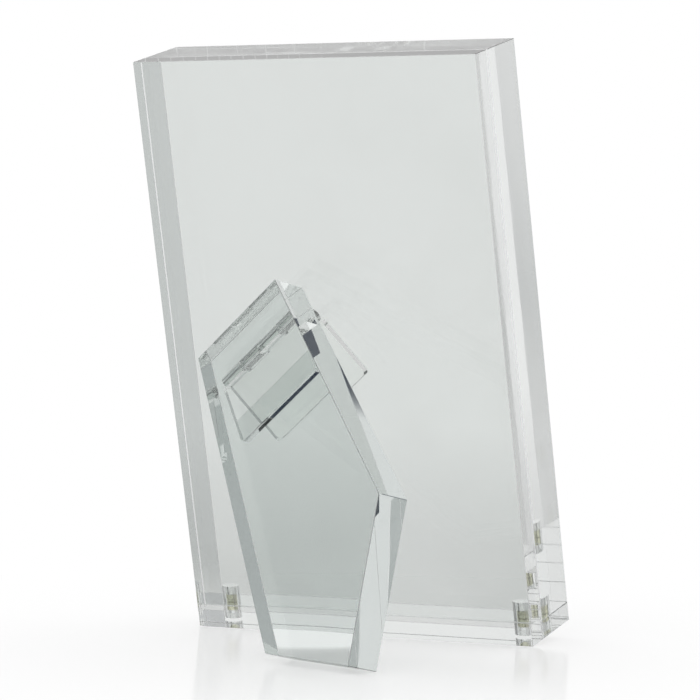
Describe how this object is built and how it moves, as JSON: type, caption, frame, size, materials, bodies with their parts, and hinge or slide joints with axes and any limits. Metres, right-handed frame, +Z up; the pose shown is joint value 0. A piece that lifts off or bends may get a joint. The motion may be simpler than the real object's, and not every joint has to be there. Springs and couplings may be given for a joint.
{
  "type": "acrylic block picture frame",
  "caption": "Clear acrylic block frame: magnets hold a thick front block on the ledge of a back plate, and a leg on an askew acrylic hinge props the frame upright or sideways.",
  "frame": {"origin": "on the table, under the middle of the footprint of the standing frame with its leg open", "axes": "+Z up from the table, -Y the way the picture faces, +X to the right of someone looking at the picture"},
  "size_m": [0.1016, 0.093, 0.1587],
  "materials": {
    "block_acrylic": "polished clear",
    "sheet_acrylic": "polished clear",
    "leg_acrylic": "polished clear",
    "hinge_acrylic": "moulded clear",
    "rod_acrylic": "turned clear",
    "magnet_nickel": "nickel plated"
  },
  "bodies": {
    "stand": {"back_plate": "sheet_acrylic", "base_ledge": "sheet_acrylic", "ledge_magnet_left": "magnet_nickel", "ledge_magnet_right": "magnet_nickel", "hinge_base_leaf": "hinge_acrylic", "hinge_pin": "rod_acrylic"},
    "front": {"front_block": "block_acrylic", "front_magnet_left": "magnet_nickel", "front_magnet_right": "magnet_nickel"},
    "leg": {"hinge_leg_leaf": "hinge_acrylic", "easel_leg": "leg_acrylic"}
  },
  "joints": [
    {"name": "leg_fold", "type": "hinge", "parent": "stand", "child": "leg", "pos_m": [0.0148, -0.00525, 0.07711], "axis": [-0.7694, 0.1339, 0.6246], "range_deg": [0, 33.3]},
    {"name": "front_lift", "type": "slide", "parent": "stand", "child": "front", "axis": [0, 0.2096, 0.9778], "range_m": [0, 0.02]}
  ]
}
